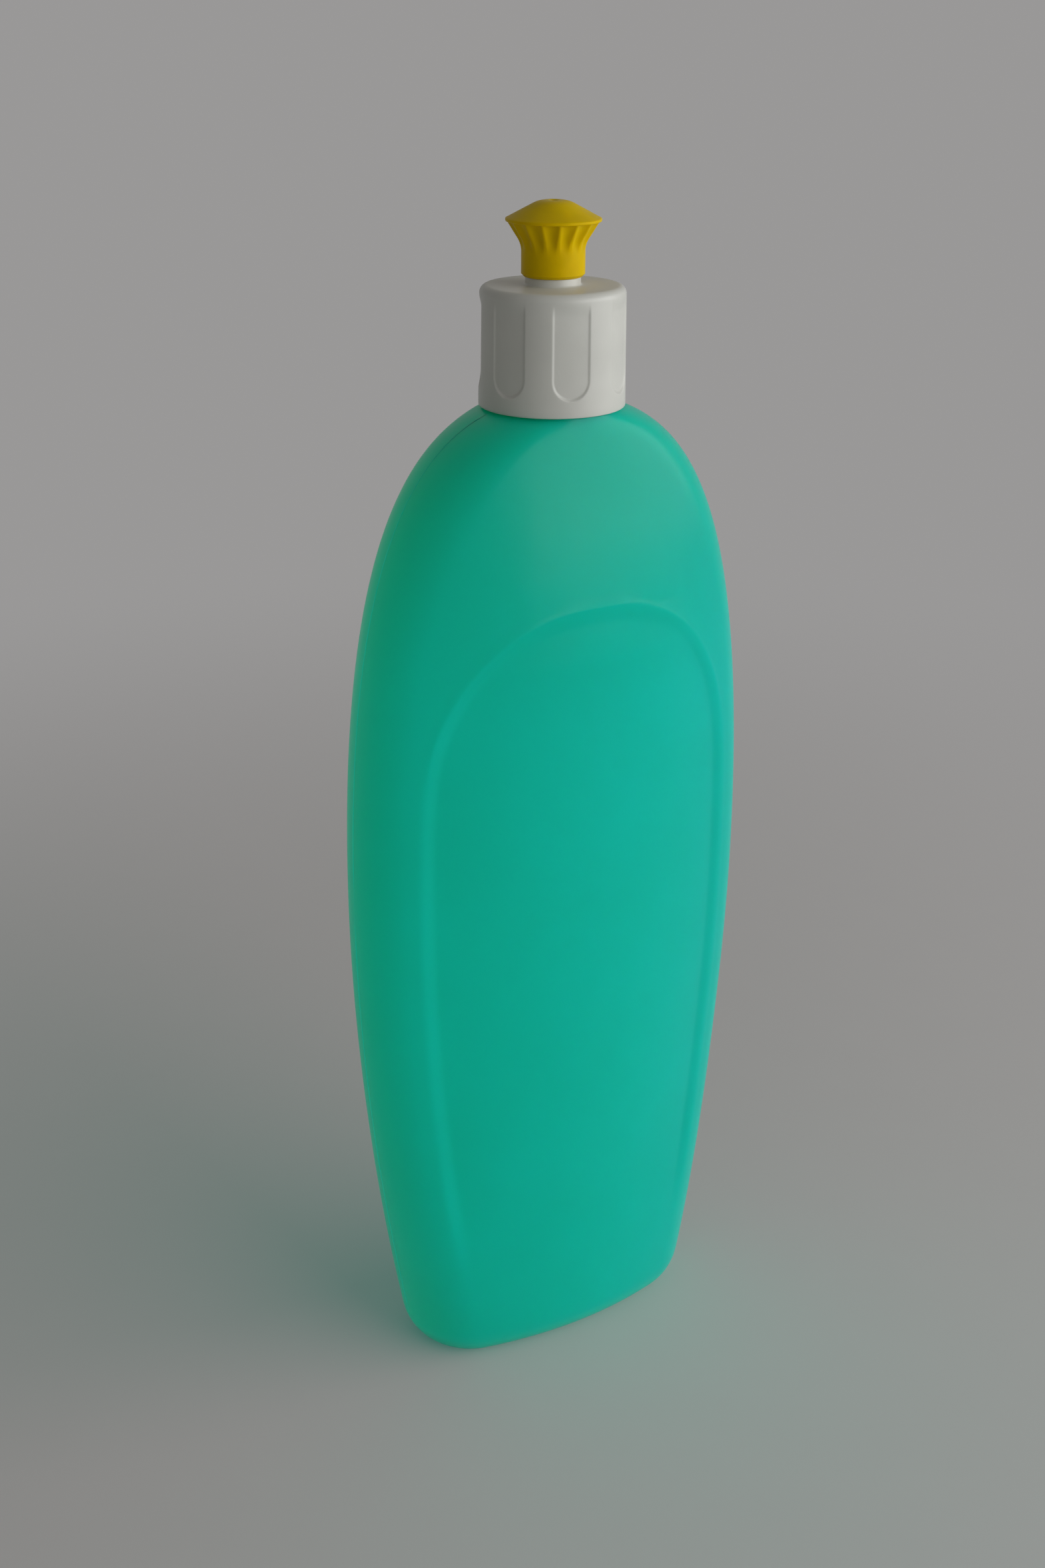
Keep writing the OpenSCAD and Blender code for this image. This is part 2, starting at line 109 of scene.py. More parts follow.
class BodySizes(bpy.types.PropertyGroup):
    """Sizes of the blown body"""
    width: size("Width", "Width of the body at its widest line", 0.0896)
    depth: size("Depth", "Depth of the body at its widest line", 0.0398)
    widest: size("Widest Height", "Height of the widest line above the table", 0.1115)
    ledge: size("Ledge Height", "Height of the ledge where the shoulder meets the neck", 0.2083)
    base_width: size("Base Width", "Width across the base before its edge is rounded", 0.0666)
    base_depth: size("Base Depth", "Depth across the base before its edge is rounded", 0.0332)
    base_round: size("Base Edge Height", "Height of the rounded edge round the base", 0.0075)
    base_inset: size("Base Edge Inset", "How far the rounded edge draws the base in", 0.0054)
    base_flare: size("Base Flare", "How far the side leans out just above the base", 0.003)
    base_flare_height: size("Base Flare Height", "Height over which the side leans out", 0.016)
    belly_low: size("Belly Pull Below", "Pull of the side curve below the widest line", 0.0508)
    belly_high: size("Belly Pull Above", "Pull of the side curve above the widest line", 0.0732)
    reach: size("Shoulder Reach", "How far the shoulder runs out from the neck", 0.0164)
    fall: size("Shoulder Fall", "How far the shoulder falls over that reach", 0.0054)
    shoulder_width: size("Shoulder Top", "Width across the top of the shoulder", 0.0262)
    lean: size("Lean Height", "Height where the front and the back begin to lean in", 0.17)
    lean_soft: size("Lean Bend", "Half of the height over which they bend into the lean", 0.02)
    end_round_base: share("End Roundness Low", "End radius over half depth at the base", 0.84)
    end_round: share("End Roundness", "End radius over half depth at the panel", 0.63)
    end_round_top: share("End Roundness High", "End radius over half depth at the ledge", 0.97)
    wall: size("Wall", "Thickness of the moulded wall", 0.0012)
    floor: size("Floor", "Thickness of the floor over the push-up", 0.0014)
    push_up: size("Push-up", "How high the middle of the base is pushed up", 0.002)
    foot: size("Foot", "Width of the flat ring that the bottle stands on", 0.0026)


class PanelSizes(bpy.types.PropertyGroup):
    """Sizes of the sunk label panel"""
    margin: size("Margin", "Distance from the side of the body to the edge of the panel", 0.0087)
    spring: size("Springing", "Height where the arch begins", 0.133)
    top: size("Top", "Height of the top of the arch", 0.1732)
    power: share("Fullness", "Fullness of the arch, 2 for an ellipse", 2.45)
    depth: size("Depth", "Depth of the upright panel below the body beside it", 0.0007)
    top_depth: size("Least Depth", "Depth of the panel where the body leans in over its arch", 0.00035)
    rim: size("Rim Height", "How far the rim round the panel stands out", 0.00008)
    rim_width: size("Rim Width", "Width of the rim round the panel", 0.002)
    step: size("Step", "Width of the soft step at the edge of the panel", 0.0034)
    low: size("Fade Start", "Height where the panel starts to sink in", 0.016)
    fade: size("Fade Height", "Height over which it sinks to its full depth", 0.03)


class NeckSizes(bpy.types.PropertyGroup):
    """Sizes of the neck and its thread"""
    width: size("Diameter", "Outer diameter of the neck tube", 0.0217)
    bore: size("Bore", "Diameter of the neck's bore", 0.018)
    bead: size("Bead Diameter", "Diameter of the bead round the neck", 0.0238)
    bead_height: size("Bead Height", "Height of the bead", 0.0024)
    bead_up: size("Bead Place", "Height from the ledge to the underside of the bead", 0.002)
    chamfer: size("Chamfer", "Chamfer on the rim and the bead", 0.0005)
    pitch: size("Thread Pitch", "Rise of the thread in one turn", 0.003175)
    thread_turns: share("Thread Turns", "Number of turns of the thread", 1.5)
    thread_down: size("Thread Place", "Depth of the thread's upper end below the rim", 0.0023)
    thread_depth: size("Thread Depth", "How far the thread stands out", 0.0009)
    thread_width: size("Thread Width", "Width of the thread at its root", 0.0016)


class CapSizes(bpy.types.PropertyGroup):
    """Sizes of the screw cap"""
    low_radius: size("Radius Low", "Radius of the skirt at its lower edge", 0.014)
    draft: size("Draft", "How much smaller the radius is at the top", 0.00028)
    bore: size("Bore Radius", "Radius of the inside of the skirt", 0.0122)
    deck: size("Deck", "Thickness of the deck", 0.0018)
    deck_round: size("Deck Edge", "Radius of the rounded edge round the deck", 0.0015)
    flutes: count("Flutes", "Number of flutes round the skirt", 7)
    flute_width: size("Flute Width", "Width of a flute", 0.0075)
    flute_depth: size("Flute Depth", "Depth of a flute", 0.00042)
    flute_up: size("Flute Place", "Height from the lower edge to the round end of a flute", 0.0031)
    flute_runout: size("Flute Run-out", "Height over which a flute runs out below the deck's edge", 0.0026)
    flute_turn: turn("Flute Turn", "Turn of the first flute about the axis", -105.8)
    chimney: size("Chimney", "Outer diameter of the chimney", 0.0089)
    chimney_bore: size("Chimney Bore", "Diameter of the chimney's bore", 0.0064)
    chimney_height: size("Chimney Height", "Height of the chimney above the deck", 0.0099)
    collar: size("Collar", "Diameter of the collar that the nozzle rests on", 0.0104)
    stop_out: size("Bead Out", "How far the bead at the chimney's top stands out", 0.0003)
    stop_height: size("Bead Height", "Height of that bead", 0.0008)
    plug: size("Plug", "Diameter of the plug", 0.00284)
    plug_sunk: size("Plug Sunk", "How far the plug stays below the crown", 0.0009)
    web: size("Web", "Thickness of a web", 0.0012)
    web_height: size("Web Height", "Height of a web", 0.0026)
    web_sunk: size("Web Sunk", "How far the webs stay below the chimney's top", 0.0004)


class NozzleSizes(bpy.types.PropertyGroup):
    """Sizes of the push-pull nozzle"""
    skirt: size("Skirt", "Outer diameter of the skirt", 0.0119)
    skirt_height: size("Skirt Height", "Height from the lower edge to the flare", 0.0043)
    brim: size("Brim", "Diameter of the brim", 0.0178)
    flare: size("Flare", "Diameter of the flare under the brim", 0.0172)
    lean: turn("Flare Lean", "Lean of the flare from upright", 33.0)
    brim_up: size("Brim Place", "Height from the lower edge to the underside of the brim", 0.0098)
    brim_thick: size("Brim Thickness", "Thickness of the brim at its edge", 0.0006)
    crown: size("Crown", "Diameter of the crown, where its dome starts", 0.0056)
    dome: size("Dome", "Width of the round edge of the crown", 0.0013)
    mouth: size("Mouth", "Diameter of the hole in the crown", 0.0016)
    mouth_length: size("Mouth Length", "Thickness of the crown round its hole", 0.0004)
    orifice: size("Orifice", "Diameter of the orifice that the plug closes", 0.003)
    orifice_length: size("Orifice Length", "Length of the orifice", 0.0022)
    lip: size("Lip Radius", "Inner radius of the lip", 0.00452)
    bore: size("Bore Radius", "Inner radius above the lip", 0.00482)
    lip_height: size("Lip Height", "Height of the lip", 0.0035)
    chamber: size("Chamber Radius", "Radius of the chamber under the orifice", 0.0026)
    scallops: count("Scallops", "Number of scallops under the brim", 16)
    scallop_depth: size("Scallop Depth", "Depth of a scallop under the brim", 0.0006)


class Finishes(bpy.types.PropertyGroup):
    """Colours of the plastics and the floor"""
    bottle: colour("Bottle", "Colour of the blown polyethylene", (0.0, 0.63, 0.464))
    cap: colour("Cap", "Colour of the moulded polypropylene", (0.66, 0.665, 0.62))
    nozzle: colour("Nozzle", "Colour of the nozzle's polyethylene", (0.74, 0.505, 0.0))
    seal: colour("Seal", "Colour of the foamed seal", (0.7, 0.71, 0.66))
    stain: colour("Stain", "What each face of the bottle leaves of the light passing it", (0.5, 0.84, 0.8))
    floor: colour("Floor", "Colour of the floor", (0.706, 0.69, 0.688))


class StageSettings(bpy.types.PropertyGroup):
    """Camera, lamp, sky and backdrop"""
    focal: share("Focal Length", "Focal length in pixels of the photograph", 2798.6)
    away: size("Camera Distance", "Level distance from the axis to the camera", 0.35494)
    height: size("Camera Height", "Height of the camera above the table", 0.2825)
    yaw: turn("Yaw", "Turn of the camera round the bottle", 31.05)
    pitch: turn("Pitch", "How far the camera looks down", 23.31)
    pan: turn("Pan", "How far the camera looks past the axis", -0.84)
    roll: turn("Roll", "Roll of the camera", 0.28)
    lamp_power: share("Lamp Power", "Power of the window lamp in watts", 15.2)
    lamp_side: turn("Lamp Side", "Turn of the lamp to the right of the camera", 75.0)
    lamp_up: turn("Lamp Rise", "Height of the lamp's middle above the table, as an angle", 21.0)
    lamp_away: size("Lamp Distance", "Distance from the bottle to the lamp", 1.4)
    lamp_width: size("Lamp Width", "Width of the lamp", 2.0)
    lamp_height: size("Lamp Height", "Height of the lamp", 0.9)
    fade_start: size("Fade Start", "Distance where the floor starts to fade into the backdrop", 0.1)
    fade_end: size("Fade End", "Distance where the floor has become the backdrop", 0.6)
    sky: share("Sky", "Strength of the even light from all round", 0.178)
    sky_colour: colour("Sky Colour", "Colour of the even light", (0.995, 0.985, 0.94))
    backdrop: colour("Backdrop", "Colour behind the floor's far edge", (0.32, 0.314, 0.312))


# Shape of the body


def smooth(t):
    """Soft step from 0 to 1."""
    u = min(1.0, max(0.0, t))
    return u * u * (3.0 - 2.0 * u)


def between(start, end, steps):
    """Evenly spaced values from start up to, but not with, end."""
    return [start + (end - start) * i / steps for i in range(steps)]


def closing(start, end, steps, power):
    """Values from start up to end, closer together towards the end."""
    return [start + (end - start) * (1 - (1 - i / steps) ** power) for i in range(steps + 1)]


def bezier(points, t):
    """Point of a cubic curve."""
    a, b, c, d = points
    u = 1.0 - t
    return a * u ** 3 + b * 3 * u * u * t + c * 3 * u * t * t + d * t ** 3


def bezier_at(points, z):
    """Point of a rising cubic curve at height z, found by halving."""
    low, high = 0.0, 1.0
    for _ in range(30):
        middle = (low + high) / 2
        if bezier(points, middle).z < z:
            low = middle
        else:
            high = middle
    return bezier(points, (low + high) / 2)


class BodyShape:
    """Outer surface of the blown body, as sections made of four arcs"""

    # How far a section's half depth stays below its half width, so that it keeps its four arcs
    least_flat = 0.00002
    # Share of the widest line's height over which the ends change from their roundness at the base
    base_share = 0.7
    # Half width of the panel's columns at the top of the arch, and their most as a share of the side's arc
    columns_top, columns_most = 0.013, 0.9
    # The panel is plain up to this direction from the narrow side, and sinks fully at twice as much
    facing = math.radians(30)

    def __init__(self, body, panel):
        self.body = body
        self.panel = panel
        half_w, half_d = min(body.width / 2, CAD_BOX[1][0]), body.depth / 2
        base_w, base_d = body.base_width / 2, body.base_depth / 2
        ledge_r = body.shoulder_width / 2
        self.slope = (half_d - ledge_r) / (body.ledge - body.lean)
        self.sizes = {}
        widest = Vector((half_w, half_d, body.widest))
        self.lower = (
            Vector((base_w, base_d, 0.0)),
            Vector((base_w + body.base_flare, (base_d + half_d) / 2, body.base_flare_height)),
            Vector((half_w, half_d, body.widest - body.belly_low)),
            widest)
        self.upper = (
            widest,
            Vector((half_w, half_d, body.widest + body.belly_high)),
            Vector((ledge_r + body.reach, half_d, body.ledge - body.fall)),
            Vector((ledge_r, half_d, body.ledge)))

    def lean_in(self, z):
        """How far up the lean the height z is, bending softly into it."""
        up, soft = z - self.body.lean, self.body.lean_soft
        if up < -soft:
            return 0.0
        return up if up > soft else (up + soft) ** 2 / (4 * soft)

    def half_size(self, z):
        """Half width and half depth at height z."""
        if z not in self.sizes:
            point = bezier_at(self.lower if z < self.body.widest else self.upper, z)
            self.sizes[z] = point.x, min(point.x, point.y - self.slope * self.lean_in(z))
        return self.sizes[z]

    def section(self, z, inset_w, inset_d):
        """Half width, half depth, end radius and side radius of a section."""
        half_w, half_d = self.half_size(z)
        a = half_w - inset_w
        b = min(a - self.least_flat, half_d - inset_d)
        body = self.body
        low = smooth(z / (self.base_share * body.widest))
        high = self.lean_in(z) / (body.ledge - body.lean)
        r = b * (body.end_round_base + (body.end_round - body.end_round_base) * low
                 + (body.end_round_top - body.end_round) * high)
        return a, b, r, (a * a + b * b - 2 * a * r) / (2 * (b - r))

    def arch_share(self, z):
        """Height in the arch, 0 at its springing and 1 at its top."""
        panel = self.panel
        return min(1.0, max(0.0, (z - panel.spring) / (panel.top - panel.spring)))

    def inside(self, x, z, half_w):
        """Distance from the edge of the panel at x and z, above 0 inside it."""
        panel = self.panel
        up = max(0.0, z - panel.spring)
        if up == 0.0:
            return half_w - abs(x)
        q = up / (panel.top - panel.spring)
        s = ((abs(x) / half_w) ** panel.power + q ** panel.power) ** (1 / panel.power)
        return math.hypot(x, up) / s * (1 - s)

    def sink(self, x, z, half_w):
        """How deep the surface lies below the plain body at x and z, below 0 on the panel's rim."""
        panel = self.panel
        inside = self.inside(x, z, half_w)
        deep = panel.top_depth + max(0.0, panel.depth - panel.top_depth - self.slope * self.lean_in(z))
        across = min(1.0, max(0.0, 0.5 - inside / panel.rim_width))
        rim = panel.rim * math.sin(math.pi * across) ** 2
        return (deep * smooth(inside / panel.step) - rim) * smooth((z - panel.low) / panel.fade)

    def angles(self, z, section, columns):
        """Outward directions of the points of a quarter section, from the front to the narrow side."""
        a, b, r, side_r = section
        join = math.atan2(side_r - b, a - r)
        join_x = side_r * math.cos(join)
        panel = self.panel
        half_w = self.panel_half_w(z)
        arch = (1 - self.arch_share(z) ** panel.power) ** (1 / panel.power)
        edge = min(max(self.columns_top, half_w * arch), self.columns_most * join_x)
        inner, outer = edge - panel.step, min(edge + panel.rim_width / 2, (edge + join_x) / 2)
        places = between(0.0, inner, columns[0]) + between(inner, edge, columns[1])
        places += between(edge, outer, columns[2]) + between(outer, join_x, columns[3])
        aligned = [math.acos(x / side_r) for x in places] + between(join, 0.0, columns[4])
        mix = smooth((z - panel.top) / (self.body.ledge - panel.top))
        even = between(math.pi / 2, 0.0, len(aligned))
        return [p * (1 - mix) + q * mix for p, q in zip(aligned, even)]

    def panel_half_w(self, z):
        """Half width of the panel at height z, without its arch."""
        return self.half_size(min(z, self.panel.top))[0] - self.panel.margin

    def ring(self, z, columns, inset_w=0.0, inset_d=0.0, lift=0.0):
        """Closed ring of points of the body at height z."""
        section = self.section(z, inset_w, inset_d)
        a, b, r, side_r = section
        join = math.atan2(side_r - b, a - r)
        half_w = self.panel_half_w(z)
        quarter = []
        for phi in self.angles(z, section, columns):
            if phi < join:
                x, y = a - r + r * math.cos(phi), r * math.sin(phi)
            else:
                x, y = side_r * math.cos(phi), side_r * math.sin(phi) - side_r + b
            quarter.append((x, y - self.sink(x, z, half_w) * smooth(phi / self.facing - 1)))
        height = z + lift
        front_right = [(x, -y) for x, y in quarter] + [(a, 0.0)]
        back_right = [(x, y) for x, y in reversed(quarter[1:])]
        back_left = [(-x, y) for x, y in quarter] + [(-a, 0.0)]
        front_left = [(-x, -y) for x, y in reversed(quarter[1:])]
        return [Vector((x, y, height)) for x, y in front_right + back_right + back_left + front_left]

    def inner_ring(self, z, columns):
        """Ring of the inside, one wall away from the outside at height z."""
        reach = 0.0005
        above = min(z + reach, self.body.ledge)
        low, high = self.half_size(z - reach), self.half_size(above)
        slopes = [(h - l) / (above - z + reach) for h, l in zip(high, low)]
        inset_w, inset_d = [self.body.wall / math.hypot(1.0, s) for s in slopes]
        return self.ring(z, columns, inset_w, inset_d, inset_w * slopes[0])

    def heights(self, start, side_rows, arch_rows, top_rows):
        """Heights of the rings above the rounded base, closer together at the arch and the ledge."""
        panel = self.panel
        arch = closing(panel.spring, panel.top, arch_rows, 1.5)[:-1]
        top = closing(panel.top, self.body.ledge, top_rows, 1.6)
        return between(start, panel.spring, side_rows) + arch + top


# Making meshes


def put(verts, points):
    """Moves the corners of a loop to their points and returns the corners."""
    for vert, point in zip(verts, points):
        vert.co = point
    return verts


def edges_round(bm, verts):
    """Edges of a closed loop of corners."""
    return [bm.edges.get((a, b)) for a, b in zip(verts, verts[1:] + verts[:1])]


def first_loop(bm, points):
    """Adds a circle with its corners at the points."""
    circle = bmesh.ops.create_circle(bm, cap_ends=False, segments=len(points), radius=1.0)
    return put(circle["verts"], points)


def loft(bm, rings, closed=False):
    """Draws the first ring out to each next one, then caps both ends or closes it on itself."""
    first = verts = first_loop(bm, rings[0])
    for ring in rings[1:] + (rings[:1] if closed else []):
        drawn = bmesh.ops.extrude_edge_only(bm, edges=edges_round(bm, verts))["geom"]
        new = {item for item in drawn if isinstance(item, bmesh.types.BMVert)}
        above = [next(e.other_vert(v) for e in v.link_edges if e.other_vert(v) in new) for v in verts]
        verts = put(above, ring)
    if closed:
        bmesh.ops.remove_doubles(bm, verts=bm.verts, dist=1e-7)
    else:
        bmesh.ops.contextual_create(bm, geom=edges_round(bm, first))
        bmesh.ops.contextual_create(bm, geom=edges_round(bm, verts))
    bmesh.ops.recalc_face_normals(bm, faces=bm.faces)


def round_ring(radius, z, segments):
    """Even circle of points about the axis."""
    step = 2 * math.pi / segments
    return [Vector((radius * math.sin(i * step), -radius * math.cos(i * step), z)) for i in range(segments)]


def round_rings(profile, segments):
    """Circles of points about the axis, one for each (r, z) of a profile."""
    return [round_ring(radius, z, segments) for radius, z in profile]


def pressed_ring(radius, z, segments, depth_at):
    """Circle of points about the axis, pressed in by the depth that a function gives at an angle."""
    ring = []
    for point in round_ring(radius, z, segments):
        shrink = 1 - depth_at(math.atan2(point.y, point.x)) / radius
        ring.append(Vector((point.x * shrink, point.y * shrink, z)))
    return ring


def corner_arc(centre_r, centre_z, radius, start, end, steps):
    """Points (r, z) along an arc, with its angles in degrees from outwards."""
    angles = [math.radians(start + (end - start) * i / steps) for i in range(steps + 1)]
    return [(centre_r + radius * math.cos(a), centre_z + radius * math.sin(a)) for a in angles]


def keep_mesh(bm, name, material, crease=32.0):
    """Turns a finished bmesh into an object with smooth faces and sharp creases."""
    mesh = bpy.data.meshes.new(name)
    bm.to_mesh(mesh)
    bm.free()
    mesh.shade_smooth()
    mesh.set_sharp_from_angle(angle=math.radians(crease))
    mesh.materials.append(material)
    piece = bpy.data.objects.new(name, mesh)
    bpy.context.scene.collection.objects.link(piece)
    return piece


# Materials


class Nodes:
    """Node tree that is built up node by node"""

    def __init__(self, tree):
        self.nodes = tree.nodes
        self.links = tree.links

    def feed(self, socket, value):
        """Links a varying value to a socket, or sets a constant one."""
        if isinstance(value, bpy.types.NodeSocket):
            self.links.new(value, socket)
        else:
            socket.default_value = value

    def add(self, kind, *places, **names):
        """Adds a shader node and feeds its inputs, by their places or by names with _ for a space."""
        node = self.nodes.new("ShaderNode" + kind)
        for place, value in enumerate(places):
            self.feed(node.inputs[place], value)
        for name, value in names.items():
            self.feed(node.inputs[name.replace("_", " ")], value)
        return node

    def combine(self, operation, first, second):
        """Value that a Math node makes of two others."""
        node = self.add("Math", first, second)
        node.operation = operation
        return node.outputs["Value"]

    def show_mixed(self, factor, first, second, output):
        """Mixes two shaders by a factor and leads the mix to the tree's output."""
        mix = self.add("MixShader", factor, first, second)
        self.links.new(mix.outputs["Shader"], self.nodes[output].inputs["Surface"])

    def seen_ray(self):
        """Value that is 1 where the camera, a gloss or clear plastic looks at a surface."""
        path = self.add("LightPath").outputs
        seen = self.combine("MAXIMUM", path["Is Camera Ray"], path["Is Glossy Ray"])
        return self.combine("MAXIMUM", seen, path["Is Transmission Ray"])


class Paint(Nodes):
    """Node material with one Principled shader"""

    def __init__(self, name):
        self.material = bpy.data.materials.new(name)
        self.material.use_nodes = True
        super().__init__(self.material.node_tree)
        self.shader = self.nodes["Principled BSDF"]
        self.place = self.add("TexCoord").outputs["Object"]

    def set(self, **values):
        """Feeds sockets of the shader, named with _ for a space."""
        for name, value in values.items():
            self.feed(self.shader.inputs[name.replace("_", " ")], value)

    def noise(self, scale, detail=2.0, roughness=0.5, stretch=(1.0, 1.0, 1.0)):
        """Noise in the piece's own space, stretched along an axis where a value is below 1."""
        mapping = self.add("Mapping", Vector=self.place, Scale=stretch)
        texture = self.add(
            "TexNoise", Vector=mapping.outputs["Vector"], Scale=scale, Detail=detail, Roughness=roughness)
        return texture.outputs["Fac"]

    def height(self):
        """Height above the table in metres."""
        return self.add("SeparateXYZ", self.place).outputs["Z"]

    def ramp(self, source, low, high, to_low, to_high):
        """Maps a value from one range to another."""
        node = self.add("MapRange", Value=source, From_Min=low, From_Max=high, To_Min=to_low, To_Max=to_high)
        return node.outputs["Result"]

    def wander(self, noise, low, high):
        """Value between low and high that follows a noise, most of which lies from 0.3 to 0.7."""
        return self.ramp(noise, 0.3, 0.7, low, high)

    def mix(self, factor, first, second):
        """Mixes two colours by a factor that varies over the surface."""
        node = self.add("Mix")
        node.data_type = "RGBA"
        self.feed(node.inputs["Factor"], factor)
        for letter, colour_value in (("A", first), ("B", second)):
            socket = next(i for i in node.inputs if i.name == letter and i.type == "RGBA")
            self.feed(socket, (*colour_value, 1.0) if isinstance(colour_value, tuple) else colour_value)
        return next(o for o in node.outputs if o.type == "RGBA")

    def mottle(self, noise, base, dark, light):
        """Colour that wanders with a noise between two tints of the base colour."""
        return self.mix(self.wander(noise, 0.0, 1.0), tint(base, dark), tint(base, light))

    def bump(self, *layers):
        """Lays bumps over each other, each given as a height source and its depth in metres."""
        normal = {}
        for source, depth in layers:
            normal = {"Normal": self.add("Bump", Height=source, Distance=depth, **normal).outputs["Normal"]}
        self.set(**normal)


def tint(colour_value, factor):
    """A colour made lighter or darker."""
    return tuple(min(1.0, c * factor) for c in colour_value)


def blown_polyethylene(finish):
    """Satin, slightly see-through wall with faint flow lines, deeper in colour at the foot, and at the
    shoulder, which a thicker wall and painted shade darken.
    """
    plastic = Paint("blown_polyethylene")
    base = tuple(finish.bottle)
    cloud = plastic.noise(38.0)
    flow = plastic.noise(160.0, 3.0, 0.6, (1.0, 1.0, 0.08))
    grain = plastic.noise(1500.0, 3.0)
    even = plastic.mottle(cloud, base, 0.96, 1.04)
    # The shoulder's deeper colour is partly its thicker wall and partly painted shade, which darkens the
    # upward-leaning shoulder that the lamp lights more
    deep = (base[0], base[1] * 0.93, base[2] * 0.85)
    # Heights between which the shoulder's deeper colour sets in, and where the foot's ends
    shoulder_low, shoulder_high, foot_high = 0.15, 0.195, 0.03
    shoulder = plastic.ramp(plastic.height(), shoulder_low, shoulder_high, 0.0, 1.0)
    foot = plastic.ramp(plastic.height(), 0.0, foot_high, 0.45, 0.0)
    plastic.set(
        Base_Color=plastic.mix(foot, plastic.mix(shoulder, even, deep), tint(base, 0.86)),
        Roughness=plastic.wander(flow, 0.28, 0.34), Specular_IOR_Level=0.15, IOR=1.5,
        Subsurface_Weight=1.0, Subsurface_Radius=(0.1, 1.0, 0.7), Subsurface_Scale=0.01)
    plastic.bump((cloud, 0.0004), (flow, 0.00003), (grain, 0.000012))
    # Light from the lamp passes the wall, stained by its colour at each face
    stained = plastic.add("BsdfTransparent", (*finish.stain, 1.0))
    plastic.show_mixed(plastic.add("LightPath").outputs["Is Shadow Ray"], plastic.shader.outputs["BSDF"],
                       stained.outputs["BSDF"], "Material Output")
    return plastic.material


def moulded_polypropylene(finish):
    """Satin off-white moulding with a very fine grain."""
    plastic = Paint("moulded_polypropylene")
    cloud = plastic.noise(120.0)
    plastic.set(
        Base_Color=plastic.mottle(cloud, tuple(finish.cap), 0.97, 1.02),
        Roughness=plastic.wander(cloud, 0.32, 0.4), IOR=1.49,
        Subsurface_Weight=0.25, Subsurface_Radius=(1.0, 1.0, 0.9), Subsurface_Scale=0.0015)
    plastic.bump((cloud, 0.00008), (plastic.noise(2200.0), 0.000008))
    return plastic.material


def moulded_polyethylene(finish):
    """Waxy yellow moulding that glows a little where it is thin."""
    plastic = Paint("moulded_polyethylene")
    cloud = plastic.noise(240.0)
    plastic.set(
        Base_Color=plastic.mottle(cloud, tuple(finish.nozzle), 0.94, 1.04),
        Roughness=plastic.wander(cloud, 0.34, 0.44), Specular_IOR_Level=0.05, IOR=1.5,
        Subsurface_Weight=0.35, Subsurface_Radius=(1.0, 0.6, 0.1), Subsurface_Scale=0.0012)
    plastic.bump((cloud, 0.00006), (plastic.noise(2600.0), 0.000008))
    return plastic.material


def foamed_seal(finish):
    """Matt closed-cell foam."""
    foam = Paint("foamed_seal")
    cells = foam.noise(3000.0, 3.0)
    foam.set(Base_Color=foam.mottle(cells, tuple(finish.seal), 0.9, 1.05), Roughness=0.75)
    foam.bump((cells, 0.00005))
    return foam.material


def material_for(make):
    """Material of the finish's own name, made once."""
    return bpy.data.materials.get(make.__name__) or make(bpy.context.scene.bottle_finishes)


# Bottle


